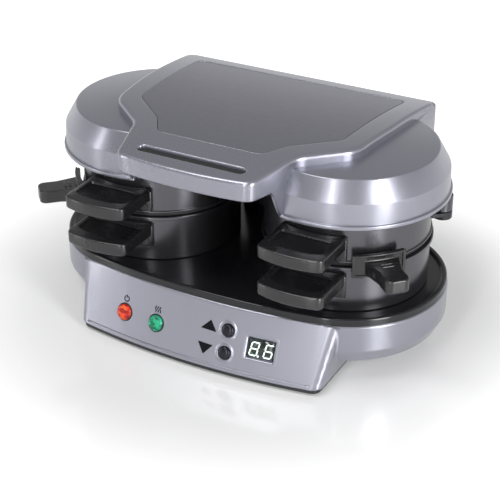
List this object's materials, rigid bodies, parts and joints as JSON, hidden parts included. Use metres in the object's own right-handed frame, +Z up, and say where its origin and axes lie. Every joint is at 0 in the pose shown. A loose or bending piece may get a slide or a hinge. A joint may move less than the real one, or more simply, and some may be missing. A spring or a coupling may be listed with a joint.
{
  "type": "breakfast sandwich maker",
  "caption": "Twin-station breakfast sandwich maker with a hinged lid, stacked cooking rings, swing-out plates, control panel and display.",
  "frame": {"origin": "centre of the appliance on the surface it stands on", "axes": "+X to the right, +Y to the back towards the hinge, +Z up"},
  "size_m": [0.3372, 0.225, 0.185],
  "materials": {
    "silver_shell": "satin silver paint on moulded plastic",
    "satin_inset": "matt dark silver",
    "black_moulding": "fine texture",
    "deck_coating": "glossy black heat-proof moulding",
    "rubber_feet": "matt",
    "steel_fasteners": "bright",
    "board_laminate": "board",
    "clear_lens": "clear",
    "display_black": "display face",
    "clear_window": "tinted",
    "red_lens": "translucent look",
    "green_lens": "translucent look",
    "black_buttons": "glossy",
    "white_ceramic": "glazed",
    "black_handles": "satin phenolic",
    "plate_coating": "non-stick",
    "ring_coating": "metallic non-stick"
  },
  "bodies": {
    "base": {"base_housing": "silver_shell", "board_ribs": "black_moulding", "bottom_cover": "black_moulding", "button_switches": "black_moulding", "buzzer": "black_moulding", "control_board": "board_laminate", "cord_gland": "rubber_feet", "cover_screws": "steel_fasteners", "deck_tray": "deck_coating", "display_module": "display_black", "display_window": "clear_window", "heat_lens_green": "green_lens", "hinge_shaft": "steel_fasteners", "hinge_tower": "black_moulding", "indicator_lamps": "clear_lens", "lower_element_left": "steel_fasteners", "lower_element_right": "steel_fasteners", "lower_heating_plate_left": "plate_coating", "lower_heating_plate_right": "plate_coating", "power_lens_red": "red_lens", "rubber_feet": "rubber_feet", "shaft_clips": "steel_fasteners", "terminal_block": "white_ceramic", "thermal_fuse_left": "white_ceramic", "thermal_fuse_right": "white_ceramic", "thermostat_left": "steel_fasteners", "thermostat_right": "steel_fasteners"},
    "lid": {"lid_shell": "silver_shell", "lid_inset_panel": "satin_inset", "lid_liner": "deck_coating", "lid_screws": "steel_fasteners", "upper_heating_plate_right": "plate_coating", "upper_heating_plate_left": "plate_coating", "upper_element_right": "steel_fasteners", "upper_element_left": "steel_fasteners"},
    "up_button": {"up_button": "black_buttons"},
    "down_button": {"down_button": "black_buttons"},
    "top_ring_right": {"top_ring_right": "ring_coating", "top_ring_handle_right": "black_handles", "top_ring_rivets_right": "steel_fasteners", "plate_pivot_pin_right": "steel_fasteners"},
    "bottom_ring_right": {"bottom_ring_right": "ring_coating", "bottom_ring_handle_right": "black_handles", "bottom_ring_rivets_right": "steel_fasteners"},
    "plate_right": {"cooking_plate_right": "ring_coating", "plate_handle_right": "black_handles"},
    "top_ring_left": {"top_ring_left": "ring_coating", "top_ring_handle_left": "black_handles", "top_ring_rivets_left": "steel_fasteners", "plate_pivot_pin_left": "steel_fasteners"},
    "bottom_ring_left": {"bottom_ring_left": "ring_coating", "bottom_ring_handle_left": "black_handles", "bottom_ring_rivets_left": "steel_fasteners"},
    "plate_left": {"cooking_plate_left": "ring_coating", "plate_handle_left": "black_handles"}
  },
  "joints": [
    {"name": "lid_hinge", "type": "hinge", "parent": "base", "child": "lid", "pos_m": [0, 0.09405, 0.118], "axis": [-1, 0, 0], "range_deg": [0, 100]},
    {"name": "top_ring_right_hinge", "type": "hinge", "parent": "base", "child": "top_ring_right", "pos_m": [0, 0.09405, 0.118], "axis": [-1, 0, 0], "range_deg": [0, 60]},
    {"name": "bottom_ring_right_hinge", "type": "hinge", "parent": "base", "child": "bottom_ring_right", "pos_m": [0, 0.09405, 0.118], "axis": [-1, 0, 0], "range_deg": [0, 30]},
    {"name": "plate_right_swivel", "type": "hinge", "parent": "top_ring_right", "child": "plate_right", "pos_m": [0.14398, 0.06003, 0.1018], "axis": [0, 0, 1], "range_deg": [0, 80]},
    {"name": "top_ring_left_hinge", "type": "hinge", "parent": "base", "child": "top_ring_left", "pos_m": [0, 0.09405, 0.118], "axis": [-1, 0, 0], "range_deg": [0, 60]},
    {"name": "bottom_ring_left_hinge", "type": "hinge", "parent": "base", "child": "bottom_ring_left", "pos_m": [0, 0.09405, 0.118], "axis": [-1, 0, 0], "range_deg": [0, 30]},
    {"name": "plate_left_swivel", "type": "hinge", "parent": "top_ring_left", "child": "plate_left", "pos_m": [-0.14398, 0.06003, 0.1018], "axis": [0, 0, -1], "range_deg": [0, 80]},
    {"name": "up_button_travel", "type": "slide", "parent": "base", "child": "up_button", "axis": [0, 0.9413, -0.3375], "range_m": [0, 0.0015], "stiffness_N_per_m": 300},
    {"name": "down_button_travel", "type": "slide", "parent": "base", "child": "down_button", "axis": [0, 0.9413, -0.3375], "range_m": [0, 0.0015], "stiffness_N_per_m": 300}
  ],
  "couplings": [
    {"joint": "top_ring_right_hinge", "follows": "lid_hinge", "ratio": 0.6},
    {"joint": "bottom_ring_right_hinge", "follows": "lid_hinge", "ratio": 0.3},
    {"joint": "top_ring_left_hinge", "follows": "lid_hinge", "ratio": 0.6},
    {"joint": "bottom_ring_left_hinge", "follows": "lid_hinge", "ratio": 0.3}
  ]
}
